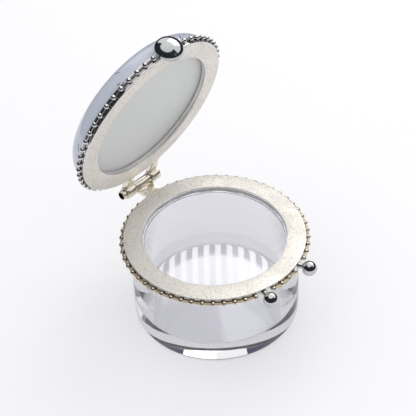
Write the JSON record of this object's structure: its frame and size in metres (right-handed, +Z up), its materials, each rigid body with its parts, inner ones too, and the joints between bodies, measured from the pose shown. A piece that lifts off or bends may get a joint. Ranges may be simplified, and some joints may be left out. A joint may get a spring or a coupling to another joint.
{
  "type": "hinged glass trinket box",
  "caption": "Round clear glass trinket box with a beaded silver rim, a hinged domed lid that opens by a thumb knob, and ball grips beside it.",
  "frame": {"origin": "centre of the jar's flat underside, on the surface the box stands on", "axes": "+Z up along the jar's axis; -Y towards the front, where the lid's knob closes; +Y towards the hinge; +X to the right seen from the front, along the hinge pin"},
  "size_m": [0.0732, 0.0898, 0.1169],
  "materials": {
    "clear_glass": "clear, polished",
    "cement": "matt, hidden",
    "satin_silver": "satin, finely stippled",
    "polished_silver": "polished plating",
    "grey_lining": "smooth satin",
    "pale_enamel": "glossy"
  },
  "bodies": {
    "base": {"glass_jar": "clear_glass", "rim_bedding": "cement", "base_rim_plate": "satin_silver", "base_collar": "polished_silver", "base_gallery_band": "polished_silver", "base_bead_wire_left": "polished_silver", "base_bead_wire_right": "polished_silver", "base_bead_wire_front": "polished_silver", "catch_ball_left": "polished_silver", "catch_ball_right": "polished_silver", "base_hinge_knuckle": "polished_silver", "hinge_pin": "polished_silver"},
    "lid": {"lid_rim_plate": "satin_silver", "lid_collar": "polished_silver", "lid_gallery_band": "polished_silver", "lid_bead_wire_left": "polished_silver", "lid_bead_wire_right": "polished_silver", "lid_backing_disc": "grey_lining", "lid_dome": "pale_enamel", "lid_knob": "polished_silver", "lid_hinge_knuckle_left": "polished_silver", "lid_hinge_knuckle_right": "polished_silver"}
  },
  "joints": [
    {"name": "lid_hinge", "type": "hinge", "parent": "base", "child": "lid", "pos_m": [0, 0.0425, 0.03665], "axis": [-1, 0, 0], "range_deg": [-72.8, 32.2]}
  ]
}
